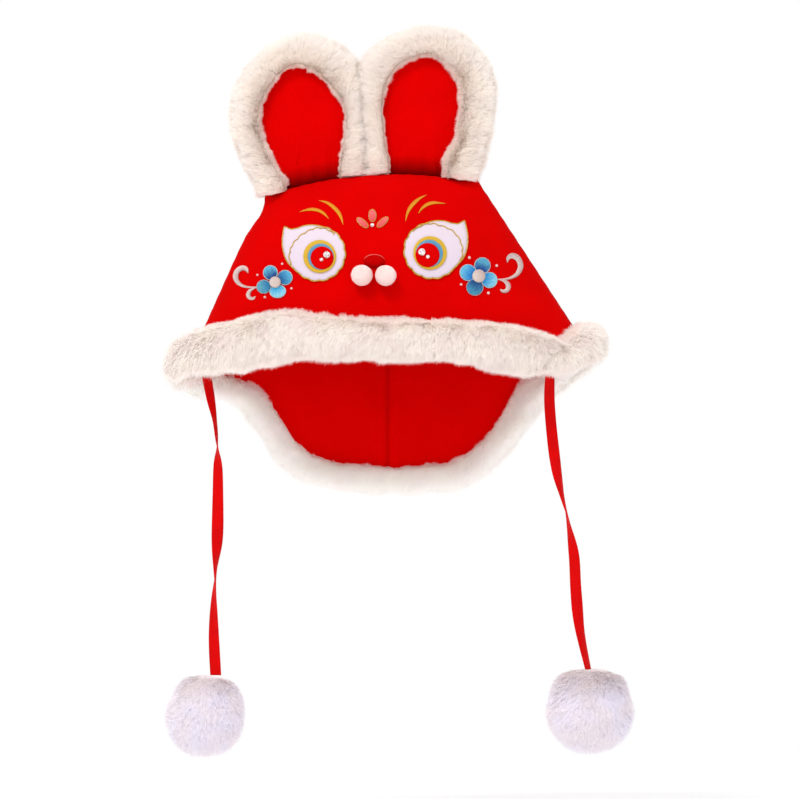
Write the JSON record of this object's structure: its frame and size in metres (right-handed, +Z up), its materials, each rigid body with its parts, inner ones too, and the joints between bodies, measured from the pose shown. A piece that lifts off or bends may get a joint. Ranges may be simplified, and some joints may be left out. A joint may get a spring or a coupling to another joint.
{
  "type": "bunny ear hat",
  "caption": "Soft red cloth hat with upright fur-edged ears, an embroidered rabbit face, a fur trimmed rim with a neck flap, and ribbon ties ending in pompoms.",
  "frame": {"origin": "inside of the crown's top, where the hat sits on a head", "axes": "+Z up along the head, +X to the viewer's right, the embroidered face looks along -Y"},
  "size_m": [0.3094, 0.1263, 0.477],
  "materials": {
    "red_cloth": "matte padded cloth",
    "red_lining": "matte brushed lining",
    "red_ribbon": "satin ribbon",
    "white_fur": "soft cream fur",
    "pompom_fur": "soft white fur",
    "white_thread": "satin stitch",
    "gold_thread": "shiny gold thread",
    "pink_thread": "satin stitch",
    "blue_thread": "satin stitch",
    "silver_thread": "shiny silver thread",
    "red_velvet": "matte velvet"
  },
  "bodies": {
    "root": {"crown_front": "red_cloth", "crown_back": "red_cloth", "lining_front": "red_lining", "lining_back": "red_lining", "fur_band": "white_fur", "ear_left": "red_cloth", "ear_fur_left": "white_fur", "ear_right": "red_cloth", "ear_fur_right": "white_fur", "eye_patch_left": "white_thread", "eye_ring_left": "gold_thread", "pupil_left": "red_velvet", "eye_patch_right": "white_thread", "eye_ring_right": "gold_thread", "pupil_right": "red_velvet", "brow_left_outer": "gold_thread", "brow_left_inner": "gold_thread", "brow_right_inner": "gold_thread", "brow_right_outer": "gold_thread", "petal_middle": "pink_thread", "petal_left": "pink_thread", "petal_right": "pink_thread", "nose": "red_velvet", "muzzle_left": "white_fur", "muzzle_right": "white_fur", "flower_left": "blue_thread", "flower_centre_left": "silver_thread", "flower_right": "blue_thread", "flower_centre_right": "silver_thread", "scroll_large_left": "silver_thread", "scroll_small_left": "silver_thread", "scroll_large_right": "silver_thread", "scroll_small_right": "silver_thread", "tie_left": "red_ribbon", "tie_pompom_left": "pompom_fur", "tie_right": "red_ribbon", "tie_pompom_right": "pompom_fur"}
  },
  "joints": []
}
